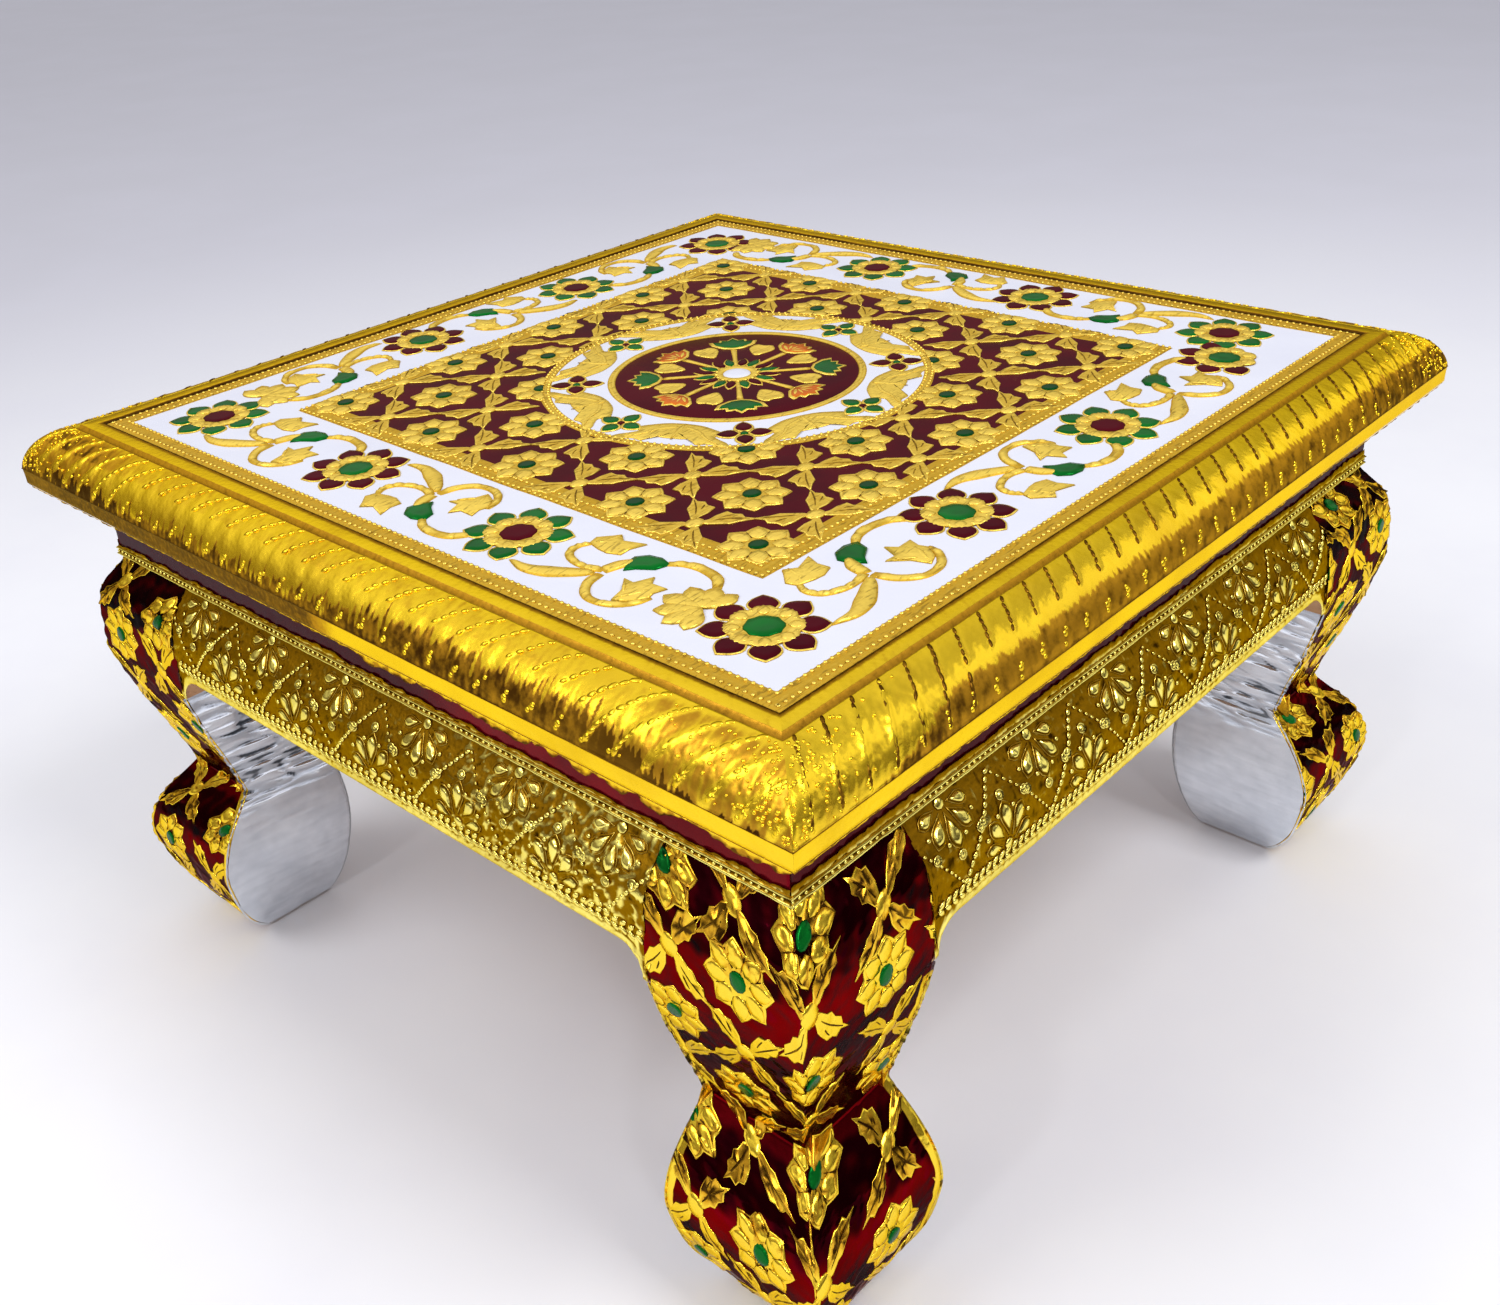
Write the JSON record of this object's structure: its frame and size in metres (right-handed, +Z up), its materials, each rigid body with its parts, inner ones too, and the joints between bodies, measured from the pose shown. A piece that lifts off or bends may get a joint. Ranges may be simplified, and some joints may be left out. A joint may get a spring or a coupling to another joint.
{
  "type": "low ornamental stool table",
  "caption": "Low square wooden bajot table with a moulded top and S-shaped legs, dressed in embossed gold foil with enamel-painted flowers, maroon legs and a silver lining.",
  "frame": {"origin": "on the floor under the middle of the square top", "axes": "+X to the right of the front side, +Y from the front side to the back, +Z up"},
  "size_m": [0.3044, 0.3044, 0.178],
  "materials": {
    "enamelled_gold": "embossed gold foil with enamel-painted flowers",
    "gold_foil": "bright embossed gold foil",
    "amber_foil": "embossed amber gold foil",
    "maroon_paint": "glossy lacquer",
    "enamelled_maroon": "glossy enamel with raised gold flowers",
    "silver_foil": "crinkled bright foil",
    "bare_wood": "sawn and sanded",
    "plated_steel": "zinc plated"
  },
  "bodies": {
    "root": {"top_board": "bare_wood", "top_sheet": "enamelled_gold", "moulding_rail_front": "bare_wood", "moulding_skin_front": "gold_foil", "moulding_rail_right": "bare_wood", "moulding_skin_right": "gold_foil", "moulding_rail_back": "bare_wood", "moulding_skin_back": "gold_foil", "moulding_rail_left": "bare_wood", "moulding_skin_left": "gold_foil", "neck_rail_front": "bare_wood", "neck_band_front": "maroon_paint", "bead_strip_front": "gold_foil", "neck_rail_right": "bare_wood", "neck_band_right": "maroon_paint", "bead_strip_right": "gold_foil", "neck_rail_back": "bare_wood", "neck_band_back": "maroon_paint", "bead_strip_back": "gold_foil", "neck_rail_left": "bare_wood", "neck_band_left": "maroon_paint", "bead_strip_left": "gold_foil", "apron_front": "bare_wood", "apron_skin_front": "amber_foil", "apron_right": "bare_wood", "apron_skin_right": "amber_foil", "apron_back": "bare_wood", "apron_skin_back": "amber_foil", "apron_left": "bare_wood", "apron_skin_left": "amber_foil", "leg_front_right": "bare_wood", "leg_skin_front_right": "enamelled_maroon", "leg_lining_front_right": "silver_foil", "corner_block_front_right": "bare_wood", "leg_back_right": "bare_wood", "leg_skin_back_right": "enamelled_maroon", "leg_lining_back_right": "silver_foil", "corner_block_back_right": "bare_wood", "leg_back_left": "bare_wood", "leg_skin_back_left": "enamelled_maroon", "leg_lining_back_left": "silver_foil", "corner_block_back_left": "bare_wood", "leg_front_left": "bare_wood", "leg_skin_front_left": "enamelled_maroon", "leg_lining_front_left": "silver_foil", "corner_block_front_left": "bare_wood", "leg_screws": "plated_steel", "board_pins": "plated_steel"}
  },
  "joints": []
}
